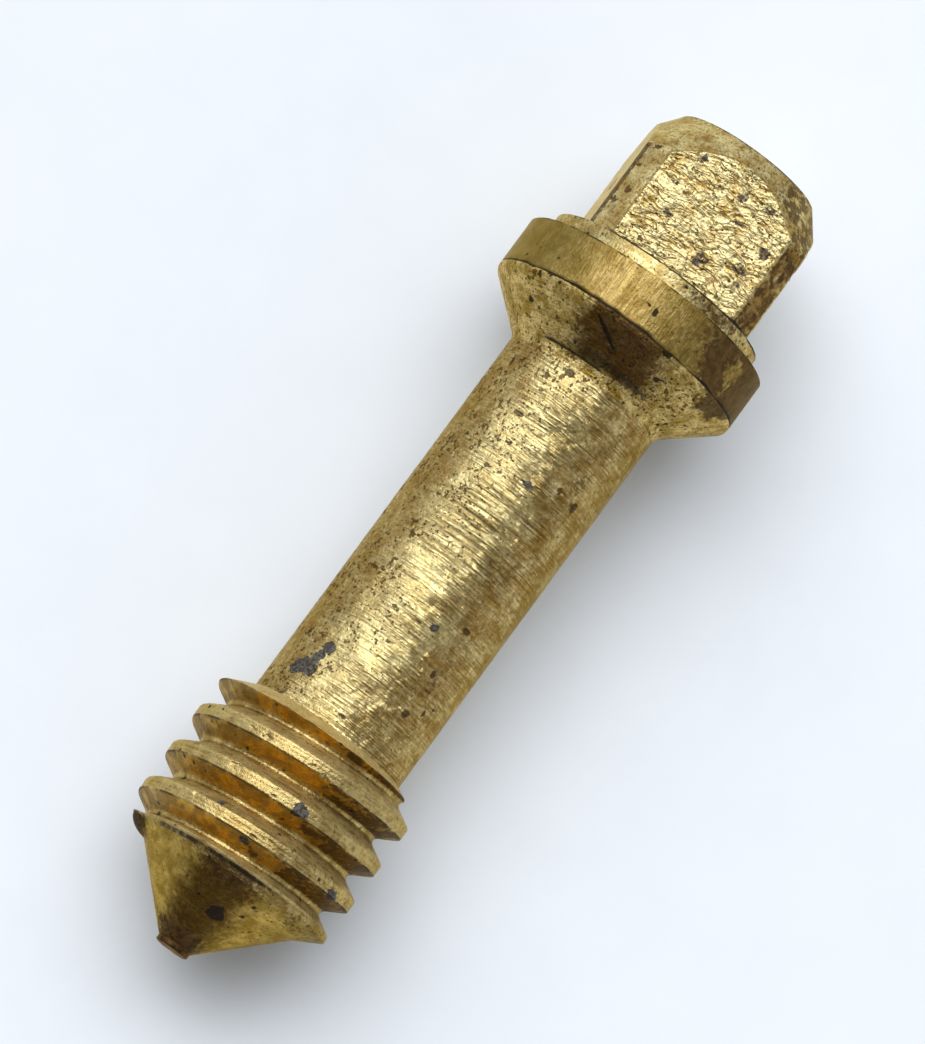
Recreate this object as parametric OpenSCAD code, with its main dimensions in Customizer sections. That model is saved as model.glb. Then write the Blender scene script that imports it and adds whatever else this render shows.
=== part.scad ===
// A square-head screw, turned and milled from one brass bar. It lies on its side: +X runs along
// its axis from the tip to the head, +Z is up, and the square's flats face +Y, -Y, +Z and -Z.
// The origin is on the axis, where the collar's wall meets its rounded rim on the tip's side.
// Each sub-part is one machined zone of the piece. Neighbours meet on a flat face across the axis.

/* [Head] */
// Distance across opposite flats of the square, which is the size of its key
across_flats = 6.16; // [5.9:0.02:6.4]
// Diameter of the round corners left between the flats, and of the disc below them
bar_d = 7.7; // [7.2:0.05:8.2]
// Length of the square, from its disc to the flat top
head_len = 4.94; // [4:0.02:7]
// Diameter of the flat top, inside the chamfer
head_top_d = 5.1; // [4.2:0.1:5.6]
// Angle between the chamfer's wall and the axis, in degrees
chamfer_angle = 36.5; // [30:0.5:50]
// Thickness of the disc between the square and the collar
disc_len = 0.59; // [0.4:0.01:1.2]

/* [Collar and neck] */
// Diameter of the collar
collar_d = 8.92; // [8.4:0.02:10]
// Length of the collar's round wall
collar_len = 1.7; // [1.2:0.05:3]
// Radius of the rounded rim where the collar turns into the neck
rim_round = 0.27; // [0.1:0.01:0.4]
// Angle between the neck's flared wall and the axis, in degrees
neck_angle = 49; // [40:0.5:60]
// Radius of the fillet where the neck runs into the shank
neck_fillet = 0.48; // [0.2:0.02:0.8]

/* [Shank] */
// Diameter of the plain shank, which is smaller than the thread's root
shank_d = 5.52; // [5.2:0.02:5.8]
// Length of the plain shank
shank_len = 13.63; // [10:0.01:20]

/* [Thread] */
// Outside diameter of the thread
thread_d = 7.51; // [7.3:0.01:7.94]
// Diameter at the bottom of the thread's groove
root_d = 6.16; // [6:0.02:6.3]
// Thread pitch, 18 to the inch
pitch = 1.411; // [1.25:0.001:1.5]
// Angle between the two walls of the groove, in degrees
groove_angle = 60; // [55:60]
// Width of the flat at the bottom of the groove
root_flat = 0.2; // [0.1:0.01:0.25]
// Length of the threaded zone, run-outs included
thread_len = 5.54; // [4:0.02:8]
// Length of the slope from the shank up to the first crest
lead_in = 0.48; // [0.3:0.01:0.8]
// Distance from the thread's start to its first groove's centre, measured at the top
first_groove = 0.67; // [0.3:0.01:1.2]

/* [Point] */
// Angle between the conical point's wall and the axis, in degrees
point_angle = 45; // [40:50]
// Diameter of the point's small end
point_end_d = 1.2; // [1:0.05:1.6]
// Diameter of the pip left at the very tip
tip_d = 1.16; // [0.8:0.02:1.2]
// Length of the pip
tip_len = 0.2; // [0.1:0.02:0.5]

/* [Hidden] */
$fn = 96;

bar_r = bar_d / 2;
collar_r = collar_d / 2;
shank_r = shank_d / 2;
thread_r = thread_d / 2;
root_r = root_d / 2;
point_end_r = point_end_d / 2;
tip_r = tip_d / 2;
head_top_r = head_top_d / 2;

// How far each round of the neck reaches along its walls from the corner it takes off
rim_reach = rim_round * tan(neck_angle / 2);
fillet_reach = neck_fillet * tan(neck_angle / 2);
neck_len = rim_reach + (collar_r - shank_r) / tan(neck_angle) + fillet_reach;
point_len = (root_r - point_end_r) / tan(point_angle);

// Where each zone ends, along the axis
head_x = collar_len + disc_len;
shank_x = -neck_len;
thread_x = shank_x - shank_len;
point_x = thread_x - thread_len;
tip_x = point_x - point_len;

// The thread's mesh: columns round the axis, and extra rows across each run-out
columns = 64;
run_out_rows = 5;
row_gap = 0.03;
groove_half = root_flat / 2 + (thread_r - root_r) * tan(groove_angle / 2);
turns = ceil(thread_len / pitch) + 1;
cone_len = (thread_r - root_r) / tan(point_angle);

// Puts a shape made along +Z on the +X axis, with its foot at x
module along_axis(x) {
    translate([x, 0, 0]) rotate([0, 90, 0]) children();
}

// Points of an arc round centre, from angle a0 to angle a1
function arc(centre, r, a0, a1, steps = 8) =
    [for (i = [0:steps]) let (a = a0 + (a1 - a0) * i / steps) centre + r * [cos(a), sin(a)]];

// Radius of the thread's blank at x: its lead-in slope, its full bar, then the point's cone
function blank_r(x) = min(
    thread_r,
    shank_r + (thread_x - x) * (thread_r - shank_r) / lead_in,
    root_r + (x - point_x) * tan(point_angle)
);

// Centre of groove k at angle a round the axis, counted from +Y towards +Z: a right-hand helix
function groove_x(a, k) = thread_x - first_groove + pitch * ((a - 90) / 360 - k);

// Radius left by the groove at x: its flat root, its sloping walls, or the full bar
function cut_r(a, x) =
    let (away = min([for (k = [-1:turns]) abs(x - groove_x(a, k))]))
    max(root_r, min(thread_r, root_r + (away - root_flat / 2) / tan(groove_angle / 2)));

function thread_surface_r(a, x) = min(blank_r(x), cut_r(a, x));

function sorted(list) = len(list) < 2 ? list :
    let (pivot = list[0])
    concat(
        sorted([for (v = list) if (v < pivot) v]),
        [pivot],
        sorted([for (v = list) if (v > pivot) v])
    );

// Edges of every groove at angle a that lie inside the threaded zone
function groove_edges(a) = [
    for (k = [-1:turns], side = [-groove_half, -root_flat / 2, root_flat / 2, groove_half])
    let (x = groove_x(a, k) + side)
    if (x > point_x + row_gap && x < thread_x - row_gap) x
];

// Rows that follow the run-outs instead of the helix
run_outs = concat(
    [for (i = [1:run_out_rows]) thread_x - lead_in * i / run_out_rows],
    [for (i = [1:run_out_rows]) point_x + cone_len * i / run_out_rows]
);

// One column's places along the axis, sorted, with both ends
function column(a) =
    let (edges = groove_edges(a))
    sorted(concat(
        [point_x, thread_x],
        edges,
        [for (x = run_outs) if (min([for (e = edges) abs(e - x)]) > row_gap) x]
    ));

// Triangles between two columns, walking both towards +X; i and j are the places reached
function strip(left, right, at_left, at_right, i = 0, j = 0) =
    let (
        left_done = i == len(left) - 1,
        right_done = j == len(right) - 1,
        step_left = !left_done && (right_done || left[i + 1] <= right[j + 1])
    )
    left_done && right_done ? [] :
    step_left ? concat(
        [[at_left + i, at_left + i + 1, at_right + j]],
        strip(left, right, at_left, at_right, i + 1, j)
    ) : concat(
        [[at_left + i, at_right + j + 1, at_right + j]],
        strip(left, right, at_left, at_right, i, j + 1)
    );

module head() {
    chamfer_len = (bar_r - head_top_r) / tan(chamfer_angle);
    color("goldenrod")
        along_axis(head_x)
            intersection() {
                rotate_extrude() polygon([
                    [0, 0], [bar_r, 0], [bar_r, head_len - chamfer_len],
                    [head_top_r, head_len], [0, head_len]
                ]);
                translate([0, 0, head_len / 2])
                    cube([across_flats, across_flats, 2 * head_len], center = true);
            }
}

module head_base() {
    color("darkgoldenrod") along_axis(collar_len) cylinder(r = bar_r, h = disc_len);
}

module collar() {
    color("olive") along_axis(0) cylinder(r = collar_r, h = collar_len);
}

module neck() {
    rim = arc([collar_r - rim_round, 0], rim_round, 0, -neck_angle);
    fillet = arc([shank_r + neck_fillet, -neck_len], neck_fillet, 180 - neck_angle, 180);
    color("saddlebrown")
        along_axis(0)
            rotate_extrude() polygon(concat([[0, 0]], rim, fillet, [[0, -neck_len]]));
}

module shank() {
    color("gold") along_axis(thread_x) cylinder(r = shank_r, h = shank_len);
}

module thread() {
    angles = [for (c = [0:columns - 1]) 360 * c / columns];
    places = [for (a = angles) column(a)];
    first = [for (c = 0, n = 0; c < columns; n = n + len(places[c]), c = c + 1) n];
    points = [for (c = [0:columns - 1], x = places[c])
        let (a = angles[c], r = thread_surface_r(a, x)) [x, r * cos(a), r * sin(a)]];
    walls = [for (c = [0:columns - 1])
        let (d = (c + 1) % columns)
        each strip(places[c], places[d], first[c], first[d])];
    tip_face = [for (c = [0:columns - 1]) first[c]];
    shank_face = [for (c = [columns - 1:-1:0]) first[c] + len(places[c]) - 1];
    color("peru") polyhedron(points, concat(walls, [tip_face, shank_face]));
}

module point() {
    color("darkkhaki") along_axis(tip_x) cylinder(r1 = point_end_r, r2 = root_r, h = point_len);
}

module tip() {
    color("tan") along_axis(tip_x - tip_len) cylinder(r = tip_r, h = tip_len);
}

head();
head_base();
collar();
neck();
shank();
thread();
point();
tip();
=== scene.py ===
import math

import bpy
import numpy as np
from mathutils import Matrix, Vector


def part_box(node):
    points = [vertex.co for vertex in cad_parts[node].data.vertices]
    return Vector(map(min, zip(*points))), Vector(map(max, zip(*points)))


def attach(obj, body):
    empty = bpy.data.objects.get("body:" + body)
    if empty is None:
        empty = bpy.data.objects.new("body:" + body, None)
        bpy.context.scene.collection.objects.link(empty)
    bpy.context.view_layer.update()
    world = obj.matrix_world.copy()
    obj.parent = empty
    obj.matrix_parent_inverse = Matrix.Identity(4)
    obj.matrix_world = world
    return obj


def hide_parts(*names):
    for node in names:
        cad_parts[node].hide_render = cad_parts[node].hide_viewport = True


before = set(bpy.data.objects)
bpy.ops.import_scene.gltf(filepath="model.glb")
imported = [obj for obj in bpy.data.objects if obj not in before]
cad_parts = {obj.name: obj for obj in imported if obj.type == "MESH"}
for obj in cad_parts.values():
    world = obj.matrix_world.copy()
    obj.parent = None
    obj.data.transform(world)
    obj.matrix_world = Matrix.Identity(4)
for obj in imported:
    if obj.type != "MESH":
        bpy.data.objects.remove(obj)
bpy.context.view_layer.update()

# A square-head brass screw. It is one turned piece, so every zone of it is a mesh made from the
# same two things: a radius function, the shape the lathe left, and a wear function, what age did to
# it, with some light and shade painted into its colour. Lengths are in millimetres until a mesh is
# made. Angles go round the axis from +Y towards +Z.
MM = 0.001
INCH = 25.4
TURN = 2 * math.pi


# ------------------------------------------------------------------ sizes, from the frame
def span(node):
    """Where a node starts and ends along the axis, and its radius."""
    low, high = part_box(node)
    return low.x / MM, high.x / MM, max(high.y, high.z) / MM


TIP_END, TIP_X, TIP_R = span("tip")
_, POINT_X, ROOT_R = span("point")
_, THREAD_X, THREAD_R = span("thread")
_, SHANK_X, SHANK_R = span("shank")
_, COLLAR_X, COLLAR_R = span("collar")
_, HEAD_X, BAR_R = span("head_base")
_, TOP_X, FLAT_R = span("head")

# The thread: from its end to its first groove, the groove's flat root and walls, and the slope on
# which it starts.
THREADS_PER_INCH = 18
PITCH = INCH / THREADS_PER_INCH
FIRST_GROOVE = 0.67
ROOT_FLAT = 0.2
ROOT_ROUND = 0.16
WALL_SLOPE = 1 / math.tan(math.radians(30))
LEAD_IN = 0.48
# The neck: its cone's angle, the round of the rim above it and the fillet below it.
NECK_ANGLE = math.radians(49)
RIM_ROUND = 0.27
NECK_FILLET = 0.48
# The head: its chamfer's slope, and the radius of its flat top.
CHAMFER = math.tan(math.radians(36.5))
TOP_R = 2.55
# The turned pip's round, the collar's round edge and the disc's sharp one.
PIP_ROUND = 0.06
COLLAR_ROUND = 0.05
DISC_ROUND = 0.001
# The shank's coarse stretch: how far the tool moved in each turn.
TOOL_FEED = 0.23
# No worn surface reaches past this radius, so that all of it stays inside the CAD's box.
REACH = COLLAR_R - 0.004


# ------------------------------------------------------------------ noise
rng = np.random.default_rng(18)
ORDER = np.concatenate([rng.permutation(256)] * 3)
SLOPES = rng.normal(size=(256, 3))
SLOPES /= np.linalg.norm(SLOPES, axis=1)[:, None]
SPOTS = rng.random((256, 5))


def hashed(cell, seed):
    """One of 256 entries for each whole-numbered cell."""
    i = cell & 255
    return ORDER[ORDER[ORDER[i[..., 0] + seed % 97] + i[..., 1]] + i[..., 2]]


def noise(p, size, seed):
    """Smooth noise between about -1 and 1, with lumps of one size, or of three along X, Y and Z."""
    q = p / np.asarray(size, float) + 31.7 * seed
    cell = np.floor(q).astype(int)
    f = q - cell
    w = f * f * f * (f * (f * 6 - 15) + 10)
    total = np.zeros(p.shape[:-1])
    for corner in np.ndindex(2, 2, 2):
        c = np.array(corner)
        slope = SLOPES[hashed(cell + c, seed)]
        share = np.prod(np.where(c == 1, w, 1 - w), axis=-1)
        total += share * ((f - c) * slope).sum(-1)
    return total * 1.7


def cloud(p, size, seed):
    """Noise with finer noise added to it."""
    total = sum(noise(p, np.asarray(size, float) / 2**k, seed + k) / 1.8**k for k in range(3))
    return total / 1.4


def pits(p, cell_size, share, low, high, seed):
    """Depth, 0 to 1, of round pits scattered in space: one in a share of the cells, with a radius
    from low to high."""
    q = p / cell_size
    cell = np.floor(q).astype(int)
    depth = np.zeros(p.shape[:-1])
    for corner in np.ndindex(3, 3, 3):
        c = cell + np.array(corner) - 1
        spot = SPOTS[hashed(c, seed)]
        radius = (low + (high - low) * spot[..., 4] ** 2) / cell_size
        away = np.linalg.norm(q - c - spot[..., :3], axis=-1)
        inside = np.clip(1 - (away / radius) ** 2, 0, 1) ** 2
        depth = np.maximum(depth, np.where(spot[..., 3] < share, inside, 0))
    return depth


def ramp(value, start, end):
    """0 before start and 1 after end, smooth between."""
    t = np.clip((value - start) / (end - start), 0, 1)
    return t * t * (3 - 2 * t)


def between(value, low, high, soft):
    """1 between low and high, 0 outside, with soft edges."""
    return ramp(value, low - soft, low + soft) * (1 - ramp(value, high - soft, high + soft))


def smooth_min(a, b, k):
    """The lower of two values, rounded where they cross."""
    h = np.clip(0.5 + 0.5 * (b - a) / k, 0, 1)
    return b * (1 - h) + a * h - k * h * (1 - h)


def smooth_max(a, b, k):
    return -smooth_min(-a, -b, k)


def around(angle, place):
    """Signed angle from a place round the axis, in radians."""
    return (angle - place + math.pi) % TURN - math.pi


def points_at(a, x, r):
    """Points in space from their angle, place along the axis and radius."""
    return np.stack([x, r * np.cos(a), r * np.sin(a)], -1)


# ------------------------------------------------------------------ the lathe's shape
def neck_radius(x):
    """The shank, its fillet, the flared cone and the rounded rim, up to the collar's wall."""
    slope = math.tan(NECK_ANGLE)
    reach = math.tan(NECK_ANGLE / 2)
    corner = -RIM_ROUND * reach
    cone = COLLAR_R + (x - corner) * slope
    rim_end = -RIM_ROUND * math.sin(NECK_ANGLE)
    rim = COLLAR_R - RIM_ROUND + np.sqrt(np.clip(RIM_ROUND**2 - np.minimum(x, 0) ** 2, 0, None))
    fillet_end = SHANK_X + NECK_FILLET * math.sin(NECK_ANGLE)
    into = np.clip(x - SHANK_X, 0, NECK_FILLET)
    fillet = SHANK_R + NECK_FILLET - np.sqrt(NECK_FILLET**2 - into**2)
    r = np.where(x > rim_end, rim, cone)
    return np.where(x < fillet_end, fillet, r)


def thread_turns(a, x):
    """Turns of the thread from its first groove: a whole number in the middle of a groove."""
    return (x - THREAD_X + FIRST_GROOVE) / PITCH - (a - math.pi / 2) / TURN


def groove_radius(a, x):
    """The thread's groove: a right-hand helix with sloping walls and a narrow root."""
    turn = thread_turns(a, x)
    away = np.abs(turn - np.round(turn)) * PITCH
    wall = ROOT_R + (away - ROOT_FLAT / 2) * WALL_SLOPE
    return smooth_max(wall, ROOT_R, ROOT_ROUND)


def screw_radius(a, x):
    """Point and thread: the blank, cut by the groove, with a burr where the thread runs out on the
    point: a thin feather, the last turn's lip and one bead."""
    start = SHANK_R + (THREAD_X - x) * (THREAD_R - SHANK_R) / LEAD_IN
    blank = smooth_min(start, THREAD_R, 0.10)
    cone = ROOT_R + x - POINT_X
    groove = groove_radius(a, x)
    r = smooth_min(smooth_min(blank, cone, 0.05), groove, 0.08)
    feather = np.exp(-((groove - cone + 0.05) / 0.12) ** 2) * ramp(POINT_X + 0.55 - x, 0, 0.2)
    r = r + 0.09 * feather
    lip_x = THREAD_X - FIRST_GROOVE + PITCH * ((a - math.pi / 2) / TURN - 3.5)
    lip = smooth_min(THREAD_R - 0.03 - WALL_SLOPE * np.clip(lip_x - x, 0, None), groove, 0.15)
    reach = between(a, 2.3, 4.2, 0.35) * (x < lip_x + 0.65)
    r = r + reach * np.clip(lip - r, 0, None)
    turn = around(a, -0.02)
    bead = 1 - (turn / 0.16) ** 2 - ((x - POINT_X + 0.08 - 0.8 * turn) / 0.24) ** 2
    return r + 0.38 * np.sqrt(np.clip(bead, 0, 1))


def skin_radius(a, x):
    """The round part of the screw, from the tip to the collar's rim."""
    turned = neck_radius(x)
    screw = screw_radius(a, x)
    join = smooth_max(turned, screw, 0.05)
    return np.where(x < THREAD_X - LEAD_IN, screw, join)


def head_radius(a, x):
    """The square with its round corners and its chamfer."""
    side = np.abs((a + math.pi / 4) % (math.pi / 2) - math.pi / 4)
    flat = FLAT_R / np.cos(side)
    chamfer = TOP_R + (TOP_X - x) * CHAMFER
    r = smooth_min(flat, BAR_R, 0.015)
    return smooth_min(r, chamfer, 0.03)


# ------------------------------------------------------------------ wear
MASKS = ("dirt", "stain", "amber", "dull", "grey", "rot", "filed", "worn", "matt")


class Wear:
    """What age did to a stretch of skin, and the light and shade painted on some of it: its relief, and
    masks for its material.

    dirt fills pits, and also paints shade along the thread's crests and under the point's lip; stain
    is dark brown, and also paints shade on the collar and a dark reflection on the neck and point;
    amber is clear tarnish in the material's own tint, and also paints shade down the shank's sides and
    a dark reflection on the neck and point; dull is olive tarnish, and also paints shade on the shank
    and collar; grey is a crust, rot is how pitted the metal is, filed is where file marks are, worn is
    where rubbing keeps it bright, and also paints a highlight on the shank and disc; and matt is where
    it has lost its shine."""

    def __init__(self, p, rot=0.5):
        self.p = p
        self.x = p[..., 0]
        self.r = np.hypot(p[..., 1], p[..., 2])
        self.angle = np.arctan2(p[..., 2], p[..., 1])
        self.height = 0.005 * noise(p, 1.3, 1) + 0.003 * noise(p, 0.3, 2) + 0.002 * noise(p, 0.12, 3)
        self.masks = {mask: np.zeros(self.x.shape) for mask in MASKS}
        self.add("rot", rot)

    def add(self, mask, amount):
        self.masks[mask] = np.maximum(self.masks[mask], amount)

    def marks(self):
        return np.stack([self.masks[mask] for mask in MASKS], -1)

    def turn(self, degrees):
        return around(self.angle, math.radians(degrees))

    def patch(self, degrees, x, wide, long, seed, rough=0.35, soft=0.0):
        """1 inside a ragged patch, 0 outside. wide is its half size round the axis, long along it."""
        away = np.hypot(self.turn(degrees) * self.r / wide, (self.x - x) / long)
        near = away < 2
        away[near] += rough * cloud(self.p[near], min(wide, long) * 0.9, seed)
        return 1 - ramp(away, 0.75 - soft, 1.1 + soft)

    def scratch(self, start, end, half_width):
        """1 along a straight mark between two (angle, x) places, thinning to its ends."""
        radius = float(np.mean(self.r))
        across = self.turn(start[0]) * radius
        run = np.array([math.radians(end[0] - start[0]) * radius, end[1] - start[1]])
        length = np.linalg.norm(run)
        run = run / length
        dx = self.x - start[1]
        t = np.clip((across * run[0] + dx * run[1]) / length, 0, 1)
        off = np.hypot(across - t * length * run[0], dx - t * length * run[1])
        width = half_width * (0.35 + 0.65 * np.sin(math.pi * np.clip(t, 0.05, 0.95)))
        return 1 - ramp(off + 0.3 * half_width * noise(self.p, 0.08, 5), 0.4 * width, width)

    def rings(self, size, seed):
        """Turning marks: noise that changes only along the axis."""
        q = np.zeros_like(self.p)
        q[..., 0] = self.x
        return noise(q, size, seed)

    def pit(self, cell, share, low, high, depth, seed, where=1.0):
        """Pits cut that deep, with dirt in them."""
        hole = pits(self.p, cell, share, low, high, seed) * where
        self.height = self.height - depth * hole
        self.add("dirt", 0.75 * ramp(hole, 0.03, 0.4))

    def spots(self, places, mask, depth, seed, rough=0.35):
        """Ragged spots, each given as its angle in degrees, its place along the axis, and its half
        sizes round the axis and along it."""
        for k, (degrees, x, wide, long) in enumerate(places):
            spot = self.patch(degrees, x, wide, long, seed + k, rough)
            self.add(mask, spot)
            self.height = self.height - depth * spot


# Spots, listed in the order that Wear.spots takes them.
CRUST = ((52, -13.45, 0.24, 0.24), (49, -13.85, 0.22, 0.28), (45, -14.3, 0.48, 0.33),
         (38, -14.5, 0.28, 0.20), (101, -11.05, 0.15, 0.15), (95, -5.7, 0.22, 0.13))
DARK_SPOTS = ((74, -2.05, 0.20, 0.14), (62, -4.0, 0.24, 0.09), (69, -4.95, 0.09, 0.09),
              (30, -2.6, 0.10, 0.18), (115, -5.2, 0.10, 0.15), (132, -5.3, 0.17, 0.19),
              (121, -10.5, 0.16, 0.13), (120, -12.2, 0.12, 0.16), (121, -13.7, 0.16, 0.16),
              (133, -13.3, 0.10, 0.13), (90, -11.2, 0.16, 0.06), (87, -15.0, 0.16, 0.06))
SHANK_STAINS = ((96, -3.4, 0.42, 0.14), (129, -1.75, 0.2, 0.2), (124, -12.6, 0.2, 0.4),
                (126, -4.6, 0.25, 0.4), (210, -6.5, 0.8, 1.0), (285, -11.0, 0.9, 0.7))
NECK_SPOTS = ((34, 0.05, 0.2, 0.12), (46, 0.02, 0.16, 0.1), (40, -0.12, 0.1, 0.1),
              (106, -0.06, 0.2, 0.1), (33, -0.78, 0.12, 0.08), (113, -0.72, 0.14, 0.07),
              (149, -1.3, 0.07, 0.07))
COLLAR_SPOTS = ((92, 0.74, 0.12, 0.13), (88, 0.84, 0.07, 0.05))
FLAT_BLOTCHES = ((97, 3.2, 0.26, 0.32), (116, 3.75, 0.26, 0.18), (122, 4.6, 0.17, 0.24),
                 (120, 3.15, 0.13, 0.2), (96, 5.65, 0.17, 0.2), (112, 5.8, 0.34, 0.15),
                 (67, 3.8, 0.24, 0.1), (61, 4.7, 0.14, 0.1), (66, 5.9, 0.12, 0.2),
                 (103, 4.9, 0.3, 0.1), (109, 3.4, 0.1, 0.12), (190, 4.0, 0.4, 0.3),
                 (172, 5.2, 0.3, 0.2), (265, 4.4, 0.5, 0.25), (280, 3.5, 0.25, 0.3),
                 (2, 4.1, 0.35, 0.3))
CORNER_PITS = ((45, 3.73, 0.16, 0.11), (41, 3.26, 0.15, 0.11), (44, 5.4, 0.16, 0.08),
               (137, 4.4, 0.14, 0.2), (41, 4.6, 0.08, 0.08), (228, 4.6, 0.2, 0.2),
               (318, 3.6, 0.18, 0.25))
THREAD_CRUST = ((97, -18.25, 0.30, 0.24), (64, -19.45, 0.16, 0.1), (84, -20.0, 0.2, 0.1),
                (140, -19.6, 0.35, 0.16))
POINT_SPOTS = ((100, -22.15, 0.32, 0.24), (22, -19.3, 0.12, 0.1), (22, -20.65, 0.12, 0.1),
               (250, -22.0, 0.3, 0.2))


def wear_shank(p):
    """The plain shank: turning rings, coarser in one stretch, corroded on the left, with a painted
    highlight as a paler strip along its top and painted shade as darker amber and olive tones down
    both sides."""
    w = Wear(p)
    pitted = ramp(np.cos(w.turn(20)) + 0.4 * cloud(p, 1.5, 11), 0.2, 0.95)
    w.masks["rot"] = 0.3 + 0.85 * pitted
    turned = 0.35 + 0.65 * ramp(cloud(p, (2.5, 1.8, 1.8), 7), -0.3, 0.5) - 0.3 * pitted
    w.height += turned * (0.004 * w.rings(0.11, 1) + 0.004 * w.rings(0.2, 2))
    grooved = between(w.x, -9.2, -6.1, 0.3) * between(w.angle, 1.05, 2.2, 0.3)
    feed = w.x / TOOL_FEED + 0.5 * w.rings(0.7, 4) + 0.15 * noise(p, 1.5, 5)
    lines = 1 - ramp(np.abs(feed % 1 - 0.5) * TOOL_FEED, 0.015, 0.055)
    lines = lines * grooved * ramp(cloud(p, (0.3, 1.6, 1.6), 5), -0.5, 0.1)
    w.height += 0.016 * grooved * w.rings(0.15, 6) - 0.05 * lines
    w.add("dirt", 0.6 * lines)
    w.pit(0.30, 0.6, 0.04, 0.09, 0.030, 3, pitted)
    w.pit(0.8, 0.25, 0.06, 0.15, 0.02, 4)
    # Painted shade: amber tones darken both sides, away from the strip where the highlight falls.
    side = ramp(1 - np.cos(w.turn(71)), 0.045, 0.33) * ramp(np.cos(w.turn(71)), -1.0, -0.4)
    w.masks["amber"] = side * (0.5 + 0.12 * ramp(cloud(p, (2.2, 1.4, 1.4), 12), -0.2, 0.6))
    w.add("amber", 0.6 * ramp(np.cos(w.turn(17)), 0.72, 0.93))
    # Painted shade: a darker amber band on the right, where the shank looks darkest, broken up by
    # noise.
    painted_shade_band = between(w.angle, 2.02, 2.22, 0.12)
    w.add("amber", 0.75 * painted_shade_band * ramp(cloud(p, (2.5, 0.6, 0.6), 13), -0.6, 0.2))
    # Painted highlight: a paler, cleaner strip along the top where the highlight falls, with less olive
    # there.
    bright = ramp(np.cos(w.turn(74)), 0.92, 0.99)
    w.masks["dull"] = 0.55 * ramp(cloud(p, (0.5, 1.6, 1.6), 21), -0.3, 0.8) * (1 - 0.8 * bright)
    # Painted shade: more olive just right of the top.
    w.add("dull", 0.5 * between(w.angle, 1.68, 2.05, 0.1))
    w.spots(SHANK_STAINS, "stain", 0.0, 120)
    w.masks["stain"] *= 0.45
    w.add("dull", 0.8 * w.patch(100, -4.2, 0.55, 1.9, 24, 0.5, 0.3))
    w.spots(CRUST, "grey", -0.012, 80)
    w.height += 0.03 * w.masks["grey"] * noise(p, 0.16, 81)
    w.spots(DARK_SPOTS, "stain", 0.02, 100)
    # Rubbed patches are kept clean, less so down the sides (painted shade) and fully along the painted
    # highlight strip.
    w.masks["worn"] = (0.6 + 0.4 * ramp(cloud(p, (0.9, 2.0, 2.0), 23), -0.3, 0.3)) * (1 - 0.7 * side)
    w.add("worn", bright)
    return w


def wear_neck(p):
    """The flared cone: rings at its foot, a crack, a brown stain on its right under the rim, and
    painted
    shade: a dark reflection painted down its middle under the rim.
    """
    w = Wear(p, 0.9)
    w.height += 0.006 * w.rings(0.10, 6) * ramp(noise(p, 1.0, 31), -0.4, 0.2)
    w.pit(0.24, 0.85, 0.04, 0.10, 0.03, 13)
    w.pit(0.22, 0.8, 0.04, 0.09, 0.04, 14, w.patch(40, -0.25, 1.0, 0.4, 20, 0.5, 0.2))
    crack = w.scratch((73, -0.30), (87, -0.82), 0.10)
    w.height -= 0.07 * crack
    w.add("dirt", crack)
    w.spots(NECK_SPOTS, "dirt", 0.03, 140, 0.7)
    w.masks["stain"] = 1.1 * w.patch(143, 0.0, 1.2, 0.55, 9, 0.5, 0.2)
    # Painted shade: a dark reflection down the middle under the rim, in dark amber and brown.
    w.masks["amber"] = 1.2 * (1 - ramp(np.abs(w.turn(89)) * w.r + 0.35 * cloud(p, 0.8, 10), 0.5, 2.5))
    w.masks["amber"] *= ramp(w.x, -1.62, -1.1)
    shadow = 1 - ramp(np.abs(w.turn(90)) * w.r + 0.35 * cloud(p, 0.5, 18), 0.2, 2.2)
    w.add("stain", 0.5 * shadow * ramp(w.x, -1.5, -1.0))
    w.add("dirt", 0.55 * w.patch(89, -1.28, 1.9, 0.16, 19, 0.6))
    w.masks["dull"] = 0.4 * ramp(cloud(p, 1.0, 22), -0.1, 0.7)
    step = ramp(-np.abs(w.turn(68)) * w.r, -1.4, -0.9)
    w.height -= 0.018 * step * (1 - ramp(np.abs(w.x + 1.44), 0.03, 0.08))
    w.add("dirt", step * (1 - ramp(np.abs(w.x + 1.47), 0.02, 0.06)))
    w.height += 0.012 * (1 - ramp(np.abs(w.x + 1.33), 0.03, 0.08))
    return w


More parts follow.
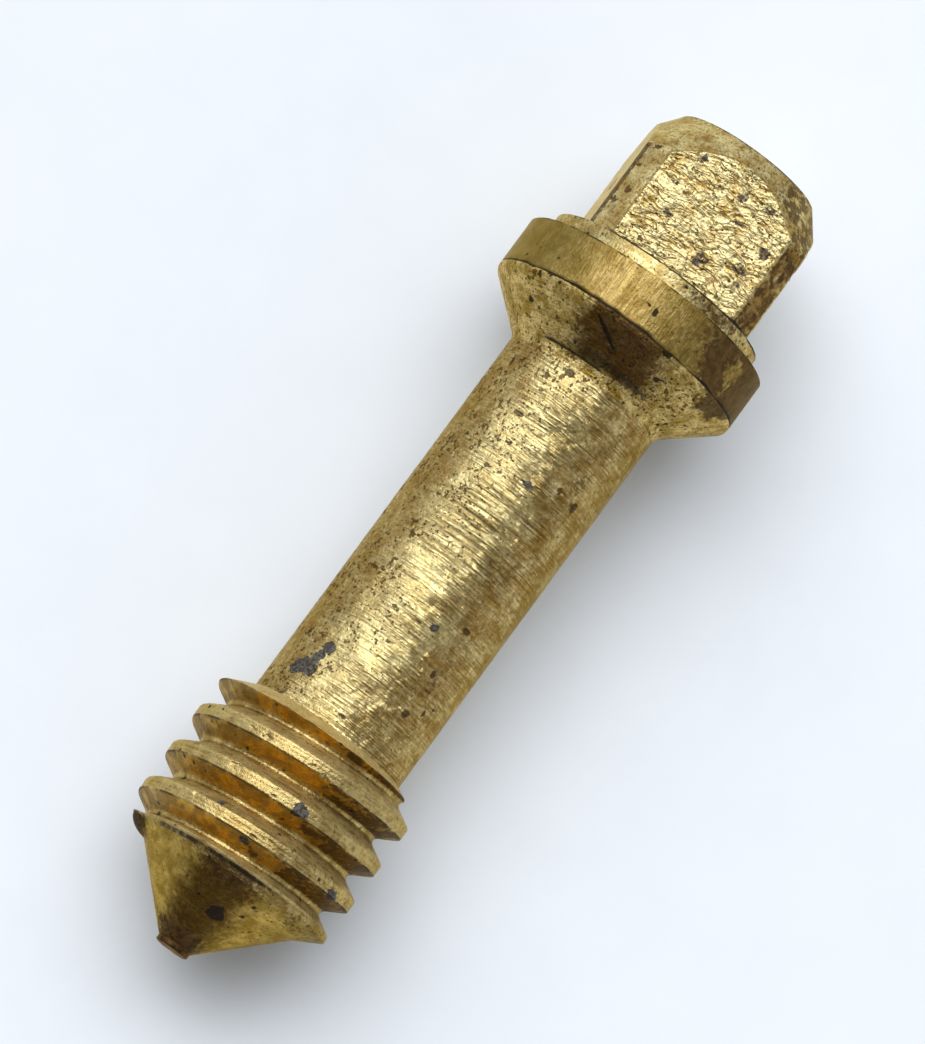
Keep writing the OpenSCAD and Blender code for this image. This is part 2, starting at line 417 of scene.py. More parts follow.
def wear_collar(p):
    """The collar's wall and top face, with a burnt stain on one side, and painted shade on the wall's
    left and just right of its middle.
    """
    w = Wear(p, 0.2)
    streaks = noise(p, (0.9, 0.12, 0.12), 8)
    w.height += 0.0025 * streaks + 0.0015 * w.rings(0.12, 9)
    w.pit(0.36, 0.32, 0.04, 0.10, 0.02, 23)
    island = w.patch(138, 0.95, 0.42, 0.62, 16, 0.7, 0.35)
    burnt = w.patch(146, 0.8, 2.4, 2.2, 14, 0.4, 0.12) * (1 - 0.7 * island)
    w.masks["stain"] = np.maximum(1.15 * burnt, 0.8 * w.patch(300, 0.7, 1.5, 0.8, 15))
    w.spots(COLLAR_SPOTS, "dirt", 0.02, 150, 0.7)
    # Painted shade: olive tones darken the wall on the left and just right of its middle.
    left = ramp(-np.abs(w.turn(30)), -0.75, -0.45)
    middle = ramp(-np.abs(w.turn(105)), -0.42, -0.15)
    w.masks["dull"] = 0.45 * ramp(cloud(p, 0.8, 24), -0.3, 0.5)
    w.add("dull", 0.9 * np.maximum(left, middle))
    w.masks["worn"] = ramp(cloud(p, (2.0, 0.5, 0.5), 27), -0.1, 0.6) * (1 - w.masks["dull"])
    # Painted shade: a little brown just right of the middle.
    w.add("stain", 0.3 * ramp(-np.abs(w.turn(112)), -0.32, -0.12))
    rim = 1 - ramp(w.x + 0.06 * noise(p, 0.55, 25), 0.03, 0.11)
    w.add("dirt", rim)
    w.height -= 0.04 * rim
    top = ramp(w.x, COLLAR_X - 0.09, COLLAR_X - 0.03) * ramp(w.r, COLLAR_R - 0.12, COLLAR_R - 0.06)
    w.add("dirt", 0.7 * top * ramp(cloud(p, 0.6, 28), -0.3, 0.4))
    return w


def wear_disc(p):
    """The disc under the flats: pitted on its right, with dirt in the seam to the head."""
    w = Wear(p, 0.5)
    w.height += 0.004 * w.rings(0.12, 17)
    w.pit(0.3, 0.55, 0.05, 0.12, 0.03, 33)
    w.masks["dull"] = 0.4 + 0.6 * ramp(cloud(p, 0.35, 26), -0.4, 0.4)
    w.pit(0.22, 0.6, 0.04, 0.08, 0.03, 37, between(w.angle, 1.9, 2.8, 0.3))
    w.masks["stain"] = 0.6 * w.patch(116, HEAD_X - 0.2, 1.4, 0.3, 34, 0.9, 0.3)
    # Painted highlight: the strip facing the light is kept a little cleaner and paler.
    w.masks["worn"] = 0.25 * ramp(-np.abs(w.turn(75)), -0.7, -0.3)
    w.masks["amber"] = 0.35 * ramp(cloud(p, 0.7, 36), -0.4, 0.4)
    seam = ramp(w.x, HEAD_X - 0.07, HEAD_X - 0.02) * ramp(w.r, FLAT_R - 0.25, FLAT_R - 0.05)
    w.add("dirt", seam * ramp(cloud(p, 0.9, 35) + 0.8 * np.cos(w.turn(120)), -0.2, 0.7))
    return w


def wear_head(p):
    """Rough, filed and knocked flats, with smoother tarnished corners and chamfer."""
    w = Wear(p)
    side = np.maximum(np.abs(p[..., 1]), np.abs(p[..., 2]))
    on_flat = ramp(-np.abs(side - FLAT_R), -0.07, -0.015) * ramp(TOP_X - w.x, 0.06, 0.14)
    q = p + 0.12 * np.stack([noise(p, 0.45, 41), noise(p, 0.6, 42), noise(p, 0.6, 43)], -1)
    q[..., 0] += 0.5 * noise(p, 1.5, 40)
    strokes = noise(q, (0.13, 0.9, 0.9), 44)
    ropes = ramp(np.abs(noise(q, (0.20, 1.0, 1.0), 45)), 0.0, 0.24)
    knocks = noise(q, (0.24, 0.32, 0.32), 46)
    hatch = noise(q, (0.5, 0.12, 0.12), 50) * ramp(noise(p, 0.8, 51), 0.1, 0.5)
    filed = 0.012 * strokes + 0.024 * ropes + 0.010 * knocks + 0.010 * hatch - 0.024
    corner = math.acos(FLAT_R / BAR_R)
    clean_face = 0.8 * ramp(corner - np.abs(w.angle), -0.02, 0.02) * on_flat
    rough = on_flat * (1 - clean_face)
    w.height = w.height + rough * filed
    w.pit(0.4, 0.45, 0.04, 0.09, 0.03, 43)
    w.masks["rot"] = 0.3 + 0.4 * rough - 0.25 * clean_face
    w.masks["filed"] = rough
    foot = 0.8 * ramp(HEAD_X + 0.75 - w.x, 0, 0.3)
    w.masks["worn"] = on_flat * np.maximum(ramp(filed, -0.014, 0.004), foot)
    w.add("worn", clean_face)
    w.masks["amber"] = 0.4 * rough * ramp(-filed, 0.010, 0.03)
    w.spots(FLAT_BLOTCHES, "stain", 0.012, 160, 0.6)
    w.masks["stain"] *= 0.43 + 0.45 * ramp(-filed, -0.014, 0.010)
    w.masks["grey"] = 0.6 * w.masks["stain"]
    edge = 1 - ramp(np.abs(w.angle - corner - 0.015), 0.02, 0.045)
    w.add("stain", 0.9 * edge * ramp(TOP_X - w.x - (BAR_R - TOP_R) / CHAMFER, 0.0, 0.1))
    w.spots(CORNER_PITS, "stain", 0.02, 180, 0.8)
    bare = 1 - on_flat
    w.masks["dull"] = bare * (0.15 + 0.4 * ramp(cloud(p, 0.7, 48), -0.3, 0.4))
    w.add("amber", bare * (0.2 + 0.35 * ramp(cloud(p, 0.9, 49), -0.1, 0.6)))
    burnt = ramp(np.cos(w.turn(147)) + 0.2 * cloud(p, 0.8, 52), 0.74, 0.98) * ramp(w.r, 1.6, 2.8)
    w.add("stain", bare * burnt * (0.4 + 0.45 * ramp(cloud(p, 0.35, 53), -0.4, 0.3)))
    w.add("amber", bare * burnt * (1 - 0.7 * ramp(w.x, 5.0, 5.8)))
    w.add("stain", 0.45 * bare * w.patch(122, 6.4, 1.3, 0.5, 54, 0.6, 0.4))
    rim = ramp(w.x, TOP_X - 0.08, TOP_X - 0.03) * ramp(w.r, TOP_R - 0.1, TOP_R - 0.04)
    w.add("stain", 0.7 * rim * ramp(cloud(p, 1.0, 56), -0.8, 0.0))
    seam = ramp(HEAD_X + 0.09 - w.x, 0, 0.05)
    seam *= ramp(cloud(p, 0.9, 35) + 0.8 * np.cos(w.turn(120)), -0.2, 0.7)
    w.add("dirt", seam)
    w.height -= 0.03 * seam
    return w


def wear_screw(p):
    """Thread and point: amber tarnish on the flanks that face the tip, pale crests and other flanks,
    and painted shade: dark lines along the crests and under the last turn's lip, and a dark
    reflection painted down the cone.
    """
    w = Wear(p)
    turn = thread_turns(w.angle, w.x)
    phase = (turn + 0.5) % 1 - 0.5
    loop = np.stack([2.6 * np.cos(TURN * turn), 2.6 * np.sin(TURN * turn), 0.4 * w.x], -1)
    drag = noise(loop, 1.0, 61)
    groove = groove_radius(w.angle, w.x)
    past_lip = groove - (ROOT_R + w.x - POINT_X)
    cone = ramp(past_lip, 0.08, 0.22) * ramp(POINT_X + 0.8 - w.x, 0, 0.1)
    start = ramp(w.x, THREAD_X - LEAD_IN - 0.1, THREAD_X - LEAD_IN + 0.1)
    start *= ramp(groove - w.r, 0.02, 0.08)
    cut = (1 - cone) * (1 - start)
    crest = ramp(groove - w.r, -0.03, 0.06)
    towards_tip = ramp(phase, 0.045, 0.08)
    near_side = between(w.angle, 0.75, 2.6, 0.5)
    w.height += cut * (0.005 + 0.003 * crest) * drag
    w.pit(0.36, 0.45, 0.04, 0.12, 0.024, 53)
    nicks = ramp(noise(p, (0.2, 0.4, 0.4), 62), 0.45, 0.9)
    w.height -= cut * ramp(w.r, THREAD_R - 0.25, THREAD_R - 0.05) * 0.05 * nicks
    wall = cut * (1 - crest)
    facing_tip = wall * towards_tip
    facing_head = wall * ramp(-phase, 0.05, 0.09)
    w.masks["amber"] = facing_tip * (0.4 + 0.65 * near_side + 0.25 * ramp(cloud(p, 1.0, 54), -0.5, 0.3))
    w.masks["matt"] = 0.9 * facing_head + 0.5 * facing_tip * (1 - near_side) + start
    w.masks["dull"] = 0.35 * cut * crest * ramp(cloud(p, 0.8, 57), -0.2, 0.5)
    w.masks["dull"] += cone * (0.2 + 0.5 * ramp(cloud(p, 0.9, 55), -0.2, 0.5))
    rubbed = ramp(drag + 0.4 * cloud(p, 0.7, 63), -0.6, 0.3)
    w.masks["worn"] = (cut * crest + facing_head) * rubbed + start
    shaded = ramp(0.4 * cloud(p, (0.8, 0.6, 0.6), 64) + np.cos(w.turn(145)), 0.5, 0.95)
    w.masks["stain"] = cut * shaded * (0.28 + 0.72 * facing_tip)
    # Painted shade: a dark line along each crest's edge above the flanks that face the tip.
    edge = cut * towards_tip * np.exp(-((groove - w.r - 0.03) / 0.04) ** 2)
    w.add("dirt", 0.75 * edge * ramp(cloud(p, 0.7, 67), -0.6, 0.1))
    w.spots(THREAD_CRUST, "grey", -0.01, 190)
    w.spots(POINT_SPOTS, "dirt", 0.01, 200)
    # Painted shade: a dark reflection down the cone's middle in amber and brown, darkest under the lip
    # and near the tip.
    down = 1 - ramp(np.abs(w.turn(88)) * w.r + 0.25 * cloud(p, 0.6, 56), 0.3, 2.0)
    w.add("amber", 0.9 * cone * down * (w.x < POINT_X + 0.01))
    ends = np.maximum(ramp(TIP_X + 0.9 - w.x, 0, 0.6), ramp(w.x, POINT_X - 0.9, POINT_X + 0.2))
    w.add("stain", cone * down * (0.1 + 0.7 * ends))
    leaf = ramp(w.r - (ROOT_R + w.x - POINT_X), 0.1, 0.25) * ramp(POINT_X + 0.3 - w.x, 0, 0.1)
    w.add("stain", 0.45 * leaf)
    w.add("dull", leaf)
    w.masks["rot"] = 0.25 + 0.3 * cone
    # Painted shade: darker under the last turn's lip.
    under = between(past_lip, 0.12, 0.5, 0.1)
    under = under * ramp(POINT_X + 0.6 - w.x, 0, 0.1) * ramp(w.x, POINT_X - 0.5, POINT_X - 0.3)
    under *= between(w.angle, 0.45, 2.2, 0.3) * ramp(cloud(p, 0.45, 65), -1.0, 0.2)
    w.add("dirt", 0.7 * under)
    w.height -= 0.03 * under
    bead = np.exp(-(w.turn(-1) / 0.25) ** 2 - ((w.x - POINT_X + 0.1) / 0.4) ** 2)
    w.add("dirt", 0.6 * bead * ramp(w.r - ROOT_R - w.x + POINT_X, 0.03, 0.1))
    w.add("stain", bead)
    return w


# ------------------------------------------------------------------ meshes
class Skin:
    """Rings of points from one end of a piece to the other. before and after are each ring's
    normals for the faces on its two sides, which differ at an edge."""

    def __init__(self, columns, shape, wear):
        self.angles = np.arange(columns) * TURN / columns
        self.shape, self.wear = shape, wear
        self.rings, self.before, self.after, self.marks = [], [], [], []

    def worn(self, a, x):
        """Points of the wall at these angles and places, with their marks."""
        r = self.shape(a, x)
        w = self.wear(points_at(a, x, r))
        return points_at(a, x, np.minimum(r + w.height, REACH)), w.marks()

    def wall(self, places):
        """A wall with a ring at each place. A ring past each end gives the end rings' normals."""
        places = np.asarray(places, float)
        ghost = np.concatenate([[2 * places[0] - places[1]], places, [2 * places[-1] - places[-2]]])
        a, x = np.meshgrid(self.angles, ghost)
        p, marks = self.worn(a, x)
        n = grid_normals(p)
        self.rings.extend(p[1:-1])
        self.before.extend(n[1:-1])
        self.after.extend(n[1:-1])
        self.marks.extend(marks[1:-1])
        return self

    def face(self, steps):
        """A flat end that runs in from the wall's last ring, in even steps, and stops one step from
        the axis."""
        edge = self.rings[-1]
        share = np.linspace(1, 0, steps + 1)[:-1, None, None]
        p = edge * np.concatenate([np.ones_like(share), share, share], -1)
        level = float(edge[:, 0].mean())
        p[..., 0] = level + (edge[:, 0] - level) * share[..., 0] ** 2
        w = self.wear(p)
        inside = ramp(1 - share[..., 0], 0, 0.06)
        p[..., 0] = np.minimum(p[..., 0] + inside * w.height, TOP_X)
        n = grid_normals(p)
        self.after[-1] = n[0]
        self.rings.extend(p[1:])
        self.before.extend(n[1:])
        self.after.extend(n[1:])
        self.marks.extend(w.marks()[1:])
        return self


def grid_normals(p):
    """Outward normals of a grid of points whose columns close round the axis."""
    along = np.gradient(p, axis=0)
    ahead = np.roll(p, -1, axis=1) - np.roll(p, 1, axis=1)
    n = np.cross(ahead, along)
    return n / np.linalg.norm(n, axis=-1, keepdims=True)


def piece(name, skin, node, material):
    """The closed mesh of a skin, with its edges kept crisp, standing for its CAD node. A fan closes
    each end."""
    ring = np.array(skin.rings)
    count, columns = ring.shape[:2]
    ends = [[ring[0, :, 0].mean(), 0, 0], [ring[-1, :, 0].mean(), 0, 0]]
    points = np.concatenate([ring.reshape(-1, 3), ends])
    here = np.arange(columns)
    there = (here + 1) % columns
    row = np.arange(count - 1)[:, None] * columns
    quads = np.stack([row + here, row + there, row + columns + there, row + columns + here], -1)
    last = (count - 1) * columns
    first_fan = np.stack([there, here, np.full(columns, count * columns)], -1)
    last_fan = np.stack([last + here, last + there, np.full(columns, count * columns + 1)], -1)
    mesh = bpy.data.meshes.new(name)
    faces = quads.reshape(-1, 4).tolist() + first_fan.tolist() + last_fan.tolist()
    mesh.from_pydata((points * MM).tolist(), [], faces)

    before, after = np.array(skin.before), np.array(skin.after)
    sides = [after[:-1, here], after[:-1, there], before[1:, there], before[1:, here]]
    fans = np.zeros((columns * 6, 3))
    fans[:, 0] = np.repeat([-1, 1], columns * 3)
    mesh.polygons.foreach_set("use_smooth", np.ones(len(faces), bool))
    mesh.normals_split_custom_set(np.concatenate([np.stack(sides, 2).reshape(-1, 3), fans]).tolist())

    marks = np.array(skin.marks).reshape(-1, len(MASKS))
    for i, mask in enumerate(MASKS):
        values = np.append(marks[:, i], [marks[:columns, i].mean(), marks[-columns:, i].mean()])
        mesh.attributes.new(mask, "FLOAT", "POINT").data.foreach_set("value", values)

    obj = bpy.data.objects.new(name, mesh)
    bpy.context.scene.collection.objects.link(obj)
    mesh.materials.append(material)
    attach(obj, "root")
    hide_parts(node)


# ------------------------------------------------------------------ materials
def linear(hexed):
    """A colour from its hex code, as the shader wants it."""
    parts = [int(hexed[i:i + 2], 16) / 255 for i in (0, 2, 4)]
    return [c / 12.92 if c <= 0.04045 else ((c + 0.055) / 1.055) ** 2.4 for c in parts] + [1.0]


class Tree:
    """Short calls for a node tree. A value is a number or another node's socket."""

    def __init__(self, tree):
        self.tree = tree

    def new(self, kind, **settings):
        node = self.tree.nodes.new(kind)
        for key, value in settings.items():
            setattr(node, key, value)
        return node

    def plug(self, socket, value):
        if isinstance(value, bpy.types.NodeSocket):
            self.tree.links.new(value, socket)
        else:
            socket.default_value = value

    def maths_vector(self, operation, a, b=None, scale=None):
        node = self.new("ShaderNodeVectorMath", operation=operation)
        self.plug(node.inputs[0], a)
        if b is not None:
            self.plug(node.inputs[1], b)
        if scale is not None:
            node.inputs["Scale"].default_value = scale
        return node.outputs[0]

    def maths(self, operation, a, b):
        node = self.new("ShaderNodeMath", operation=operation)
        self.plug(node.inputs[0], a)
        self.plug(node.inputs[1], b)
        return node.outputs[0]


class Nodes(Tree):
    """A new material, its place in the object in millimetres, and its patterns."""

    def __init__(self, name):
        self.material = bpy.data.materials.new(name)
        self.material.use_nodes = True
        super().__init__(self.material.node_tree)
        self.shader = self.tree.nodes["Principled BSDF"]
        place = self.new("ShaderNodeTexCoord").outputs["Object"]
        self.place = self.maths_vector("SCALE", place, scale=1 / MM)

    def mask(self, name):
        return self.new("ShaderNodeAttribute", attribute_name=name).outputs["Fac"]

    def noise(self, per_mm, detail=3.0, stretch=(1, 1, 1), roughness=0.55, at=None):
        node = self.new("ShaderNodeTexNoise")
        self.plug(node.inputs["Vector"], self.maths_vector("MULTIPLY", at or self.place, stretch))
        node.inputs["Scale"].default_value = per_mm
        node.inputs["Detail"].default_value = detail
        node.inputs["Roughness"].default_value = roughness
        return node.outputs["Fac"]

    def wavy(self, per_mm, amount):
        """The place, shifted a little, so that straight marks wander."""
        node = self.new("ShaderNodeTexNoise")
        self.plug(node.inputs["Vector"], self.place)
        node.inputs["Scale"].default_value = per_mm
        shift = self.maths_vector("SUBTRACT", node.outputs["Color"], (0.5, 0.5, 0.5))
        return self.maths_vector("ADD", self.place, self.maths_vector("SCALE", shift, scale=amount))

    def pits(self, per_mm, share, radius, more):
        """1 in small round pits, wider where more is 1."""
        node = self.new("ShaderNodeTexVoronoi")
        self.plug(node.inputs["Vector"], self.wavy(per_mm * 1.3, 0.25 / per_mm))
        node.inputs["Scale"].default_value = per_mm
        split = self.new("ShaderNodeSeparateColor")
        self.plug(split.inputs[0], node.outputs["Color"])
        reach = self.maths("MULTIPLY", self.blend(more, 0.3, 1.0), radius)
        near = self.maths("DIVIDE", node.outputs["Distance"], reach)
        return self.maths("MULTIPLY", self.spread(near, 0.5, 1.0, 1.0, 0.0),
                          self.maths("LESS_THAN", split.outputs[0], share))

    def spread(self, value, low, high, to_low=0.0, to_high=1.0):
        node = self.new("ShaderNodeMapRange", interpolation_type="SMOOTHSTEP")
        for key, v in (("Value", value), ("From Min", low), ("From Max", high)):
            self.plug(node.inputs[key], v)
        node.inputs["To Min"].default_value = to_low
        node.inputs["To Max"].default_value = to_high
        return node.outputs["Result"]

    def mix(self, share, a, b):
        node = self.new("ShaderNodeMix", data_type="RGBA")
        self.plug(node.inputs["Factor"], share)
        self.plug(node.inputs[6], a)
        self.plug(node.inputs[7], b)
        return node.outputs[2]

    def blend(self, share, a, b):
        node = self.new("ShaderNodeMix", data_type="FLOAT")
        self.plug(node.inputs["Factor"], share)
        self.plug(node.inputs[2], a)
        self.plug(node.inputs[3], b)
        return node.outputs[0]


VALLEY_TONE = linear("72531c")
DULL_TONE = linear("7e6c36")
# The toast, stain and dirt tones also colour painted shade, where the amber, stain and dirt masks paint
# it.
TOAST_AND_SHADE_TONE = linear("5c3610")
STAIN_AND_SHADE_TONES = linear("2c1a0d"), linear("5a3e22")
CRUST_TONES = linear("201f20"), linear("545459")
PIT_TONE = linear("432c10")
DIRT_AND_SHADE_TONE = linear("0c0703")
PIT_DEPTH = 20.0


def brass(name, clean, deep, rough, grain, speckle, rings=0.0, strokes=0.0, streaks=0.0, tint="85642a"):
    """Brass that is bright in places and tarnished in others, as the mesh's masks say, which also paint
    light and shade in places. grain, rings, strokes and streaks are the heights, in micrometres, of
    fine roughness, turning marks, file marks and marks along the axis. speckle is how dark the low
    places are, and tint is the amber mask's colour."""
    n = Nodes(name)
    rot, worn = n.mask("rot"), n.mask("worn")
    fine = n.noise(10.0, 3.0, roughness=0.65)
    relief = n.maths("MULTIPLY", n.maths("MULTIPLY", fine, n.blend(rot, 0.5, 1.3)), grain)
    marks = []
    if rings:
        broken = n.spread(n.noise(1.1, 2.0), 0.35, 0.6, 0.35, 1.0)
        broken = n.maths("MULTIPLY", broken, n.blend(rot, 1.2, 0.5))
        lines = n.noise(1.0, 2.0, stretch=(8.5, 0.45, 0.45), roughness=0.6, at=n.wavy(1.2, 0.06))
        marks.append((lines, broken, rings))
    if strokes:
        filed = n.noise(1.0, 2.0, stretch=(5.0, 1.1, 1.1), roughness=0.55, at=n.wavy(1.3, 0.5))
        marks.append((filed, n.mask("filed"), strokes))
    if streaks:
        marks.append((n.noise(1.0, 3.0, stretch=(0.8, 9.0, 9.0), roughness=0.6), 0.6, streaks))
    valley = n.spread(fine, 0.36, 0.5, 0.8, 0.0)
    for value, share, height in marks:
        ridge = n.spread(n.maths("ABSOLUTE", n.maths("SUBTRACT", value, 0.5), 0.0), 0.0, 0.055)
        lift = n.maths("ADD", value, n.maths("MULTIPLY", ridge, 0.16))
        relief = n.maths("ADD", relief, n.maths("MULTIPLY", lift, n.maths("MULTIPLY", share, height)))
        line = n.maths("MULTIPLY", n.maths("SUBTRACT", 1.0, ridge), share)
        valley = n.maths("MAXIMUM", valley, line)
    crowded = n.maths("MULTIPLY", n.spread(n.noise(1.3, 3.0), 0.40, 0.62, 0.35, 1.0), rot)
    small = n.pits(5.5, 0.8, 0.34, crowded)
    edge = n.blend(crowded, 0.74, 0.55)
    ragged_pits = n.spread(n.noise(5.5, 2.0, roughness=0.6), edge, n.maths("ADD", edge, 0.04))
    hole = n.maths("MAXIMUM", small, ragged_pits)
    hole = n.maths("MULTIPLY", hole, n.spread(rot, 0.0, 0.4))
    relief = n.maths("SUBTRACT", relief, n.maths("MULTIPLY", hole, PIT_DEPTH))
    bump = n.new("ShaderNodeBump")
    bump.inputs["Strength"].default_value = 1.0
    bump.inputs["Distance"].default_value = 0.001 * MM
    n.plug(bump.inputs["Height"], relief)
    n.plug(n.shader.inputs["Normal"], bump.outputs["Normal"])

    mottle = n.spread(n.noise(1.7, 5.0, roughness=0.65), 0.36, 0.64)
    mottle = n.maths("MULTIPLY", mottle, n.blend(worn, 1.0, 0.45))
    colour = n.mix(mottle, linear(clean), linear(deep))
    tarnished = n.maths("MULTIPLY", valley, n.blend(worn, speckle, speckle * 0.6))
    colour = n.mix(tarnished, colour, VALLEY_TONE)
    ragged = n.spread(n.noise(6.0, 4.0, roughness=0.65), 0.25, 0.75, -0.35, 0.35)
    softly = n.maths("MULTIPLY", ragged, 0.5)

    def worn_mask(mask, low, high, edge):
        """One of the mesh's masks, with its edge broken up."""
        return n.spread(n.maths("ADD", n.mask(mask), edge), low, high)

    dull = worn_mask("dull", 0.2, 1.0, softly)
    amber = worn_mask("amber", 0.15, 0.9, softly)
    stain = worn_mask("stain", 0.25, 0.8, ragged)
    grey = worn_mask("grey", 0.3, 0.65, ragged)
    dirt = n.spread(n.mask("dirt"), 0.15, 0.8)
    blotchy = n.spread(n.noise(3.5, 4.0, roughness=0.7), 0.35, 0.65)
    burnt = n.mix(blotchy, *STAIN_AND_SHADE_TONES)
    crust = n.mix(n.spread(n.noise(9.0, 3.0), 0.4, 0.6), *CRUST_TONES)
    matt = n.mask("matt")
    amber_and_shade = n.mix(n.maths("MULTIPLY", blotchy, 0.4), linear(tint), TOAST_AND_SHADE_TONE)
    for share, amount, tone in ((dull, 0.5, DULL_TONE), (amber, 0.85, amber_and_shade), (stain, 0.85, burnt),
                                (grey, 0.92, crust), (hole, 0.75, PIT_TONE), (dirt, 0.92, DIRT_AND_SHADE_TONE)):
        colour = n.mix(n.maths("MULTIPLY", share, amount), colour, tone)
    n.plug(n.shader.inputs["Base Color"], colour)

    gloss = n.blend(n.noise(5.0, 4.0), rough - 0.12, rough + 0.12)
    for share, level in ((matt, 0.55), (stain, 0.5), (grey, 0.6), (hole, 0.6), (dirt, 0.75)):
        gloss = n.blend(share, gloss, level)
    n.plug(n.shader.inputs["Roughness"], gloss)
    metal = n.blend(n.maths("MULTIPLY", stain, 0.35), n.blend(matt, 1.0, 0.5), 0.4)
    metal = n.blend(grey, metal, 0.25)
    n.plug(n.shader.inputs["Metallic"], n.blend(dirt, metal, 0.1))
    n.shader.inputs["Specular IOR Level"].default_value = 0.2
    n.shader.inputs["Specular Tint"].default_value = linear("f2dfae")
    n.shader.inputs["Coat Weight"].default_value = 0.08
    n.shader.inputs["Coat Roughness"].default_value = 0.3
    return n.material


# ------------------------------------------------------------------ the pieces
def steps(start, end, size):
    """Even places from start to end, about size apart."""
    return np.linspace(start, end, max(2, round(abs(end - start) / size)) + 1)


def edge_places(start, end, size, fine):
    """Places that close up towards the end, where the edge is rounded."""
    last = end - fine * np.array([2.6, 1.6, 0.9, 0.4, 0.0])
    return np.concatenate([steps(start, end - 4 * fine, size), last])


def rounded(radius, end, soft):
    """A wall of constant radius with a small round at its far end."""

    def shape(a, x):
        into = np.clip(x - (end - soft), 0, soft)
        return radius - soft + np.sqrt(np.clip(soft**2 - into**2, 0, None))

    return shape


def pip_radius(a, x):
    """The turned pip at the very tip, with its free end rounded."""
    into = np.clip(TIP_END + PIP_ROUND - x, 0, PIP_ROUND)
    return TIP_R - PIP_ROUND + np.sqrt(PIP_ROUND**2 - into**2)


# Each look: its name, its clean and its tarnished colour, its roughness, grain and speckle.
flats_look = brass("milled_brass", "e1d199", "b99c5c", 0.34, 30.0, 0.95, strokes=70.0)
collar_look = brass("collar_brass", "aa9258", "78602a", 0.36, 32.0, 0.75, streaks=45.0)
# The neck's and the point's dark amber tints colour painted shade: a dark reflection down the neck and
# the cone. The shank's amber also paints shade down its sides.
neck_look = brass("neck_brass", "e6cc88", "9c8038", 0.34, 60.0, 0.95, rings=95.0, tint="3a2004")
shank_look = brass("shank_brass", "e6d396", "a2803e", 0.30, 36.0, 0.85, rings=155.0)
thread_look = brass("thread_brass", "c4ae74", "8c713a", 0.34, 42.0, 0.85, tint="d9a030")
point_look = brass("point_brass", "bda054", "8a6d2c", 0.38, 28.0, 0.5, rings=18.0, tint="382405")

# Each piece: its name, its skin, and the node and look that it takes. A skin starts from the
# number of its columns, and its walls from the distance between their rings.
piece("screw_tip", Skin(120, pip_radius, wear_screw).wall(steps(TIP_END, TIP_X, 0.02)),
      "tip", point_look)
piece("screw_point", Skin(400, skin_radius, wear_screw).wall(steps(TIP_X, POINT_X, 0.03)),
      "point", point_look)
piece("screw_thread", Skin(500, skin_radius, wear_screw).wall(steps(POINT_X, THREAD_X, 0.028)),
      "thread", thread_look)
piece("screw_shank", Skin(288, skin_radius, wear_shank).wall(steps(THREAD_X, SHANK_X, 0.04)),
      "shank", shank_look)
piece("screw_neck", Skin(520, skin_radius, wear_neck).wall(steps(SHANK_X, 0, 0.03)),
      "neck", neck_look)
collar_wall = rounded(COLLAR_R, COLLAR_X, COLLAR_ROUND)
collar_places = edge_places(0, COLLAR_X, 0.045, 0.012)
piece("screw_collar", Skin(560, collar_wall, wear_collar).wall(collar_places).face(30),
      "collar", collar_look)
disc_wall = rounded(BAR_R, HEAD_X, DISC_ROUND)
piece("screw_head_base", Skin(520, disc_wall, wear_disc).wall(steps(COLLAR_X, HEAD_X, 0.035)).face(40),
      "head_base", flats_look)
piece("screw_head", Skin(540, head_radius, wear_head).wall(steps(HEAD_X, TOP_X, 0.036)).face(40),
      "head", flats_look)


# ------------------------------------------------------------------ stage, lights and camera
PAPER_HALF = 0.6
PAPER_GAP = 0.00001
PAPER_TONES = linear("e4e8ed"), linear("ebeff4")
AMBIENT = 0.07
LIGHT_COLOUR = (0.945, 0.97, 1.0, 1)


def aim(obj, back, up):
    """Turns the camera so that it looks along -back with that way up."""
    side = up.cross(back).normalized()
    obj.rotation_euler = Matrix((side, back.cross(side), back)).transposed().to_euler()


def floor():
    """Pale paper, tilted by the little that the screw leans on its collar's rim and its crests."""
    contact = POINT_X + (THREAD_R - ROOT_R)
    lean = math.atan2(COLLAR_R - THREAD_R, -contact)
    corners = [(PAPER_HALF * i, PAPER_HALF * j, 0) for i, j in ((-1, -1), (1, -1), (1, 1), (-1, 1))]
    mesh = bpy.data.meshes.new("paper")
    mesh.from_pydata(corners, [], [(0, 1, 2, 3)])
    paper = bpy.data.objects.new("paper", mesh)
    bpy.context.scene.collection.objects.link(paper)
    paper.location = (0, 0, -COLLAR_R * MM - PAPER_GAP)
    paper.rotation_euler = (0, lean, 0)
    n = Nodes("paper")
    n.plug(n.shader.inputs["Base Color"], n.mix(n.noise(0.35, 5.0), *PAPER_TONES))
    n.shader.inputs["Roughness"].default_value = 0.9
    mesh.materials.append(n.material)


# How far the camera leans towards the tip and to the side, and turns about its own axis. Its focus,
# distance and aim are in metres, and its lens and sensor in millimetres.
VIEW_TILT = math.radians(9.7)
VIEW_TURN = math.radians(3.2)
VIEW_ROLL = math.radians(36.355)
FOCUS = Vector((-7.727, 0, 0)) * MM
DISTANCE = 0.2509
LENS = 275.86
SENSOR = 36
AIM_RIGHT, AIM_DOWN = 0.26 * MM, 0.60 * MM

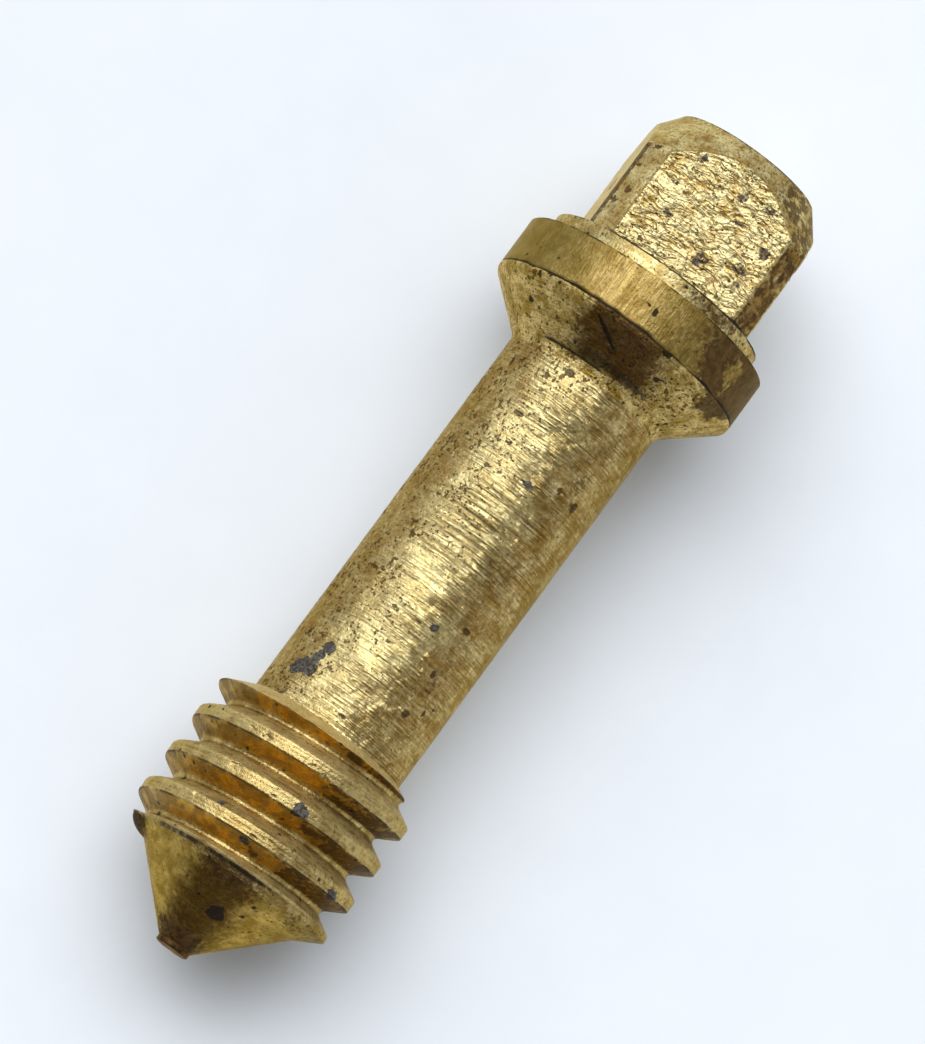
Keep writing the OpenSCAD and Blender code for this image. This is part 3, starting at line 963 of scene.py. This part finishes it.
back = Vector((-math.sin(VIEW_TILT), math.cos(VIEW_TILT) * math.sin(VIEW_TURN),
               math.cos(VIEW_TILT) * math.cos(VIEW_TURN)))
axis = Vector((1, 0, 0))
along = (axis - back * axis.dot(back)).normalized()
across = along.cross(back)
up = along * math.cos(VIEW_ROLL) - across * math.sin(VIEW_ROLL)
right = along * math.sin(VIEW_ROLL) + across * math.cos(VIEW_ROLL)


def camera():
    data = bpy.data.cameras.new("camera")
    data.lens, data.sensor_width = LENS, SENSOR
    data.clip_start, data.clip_end = 0.01, 10
    obj = bpy.data.objects.new("camera", data)
    bpy.context.scene.collection.objects.link(obj)
    obj.location = FOCUS + back * DISTANCE - right * AIM_RIGHT + up * AIM_DOWN
    aim(obj, back, up)
    bpy.context.scene.camera = obj


# Each patch of light: its direction to the right of the screw, towards its head and towards the
# camera, how narrow it is, and its level.
WINDOWS = ((0.0, 0.50, 0.87, 20, 2.1), (-0.42, 0.30, 0.87, 18, 3.4), (0.0, 0.77, 0.64, 20, 2.8),
           (-0.52, 0.52, 0.64, 20, 2.6), (0.98, 0.0, 0.21, 8, 1.0), (-0.70, 0.70, 0.21, 8, 1.1),
           (0.0, 0.98, 0.21, 8, 0.45), (0.70, -0.70, 0.21, 8, 0.95), (-0.98, 0.0, 0.21, 8, 0.35),
           (0.38, 0.66, 0.64, 16, 0.45))


def sky():
    """Soft light: wide bright patches overhead, on the left and towards the head, weaker ones low
    down, and a little from all round."""
    world = bpy.data.worlds.new("sky")
    world.use_nodes = True
    n = Tree(world.node_tree)
    way = n.new("ShaderNodeTexCoord").outputs["Generated"]

    def lobe(direction, sharp, level):
        """Light that is strongest from one direction and falls off round it."""
        dot = n.new("ShaderNodeVectorMath", operation="DOT_PRODUCT")
        n.plug(dot.inputs[0], way)
        n.plug(dot.inputs[1], direction.normalized())
        facing = n.maths("MAXIMUM", dot.outputs["Value"], 0.0)
        return n.maths("MULTIPLY", n.maths("POWER", facing, sharp), level)

    light = AMBIENT
    for right_part, head_part, back_part, sharp, level in WINDOWS:
        way_in = across * right_part + along * head_part + back * back_part
        light = n.maths("ADD", lobe(way_in, sharp, level), light)
    background = n.tree.nodes["Background"]
    n.plug(background.inputs["Strength"], light)
    n.plug(background.inputs["Color"], LIGHT_COLOUR)
    bpy.context.scene.world = world


camera()
floor()
sky()
bpy.context.scene.view_settings.view_transform = "Standard"
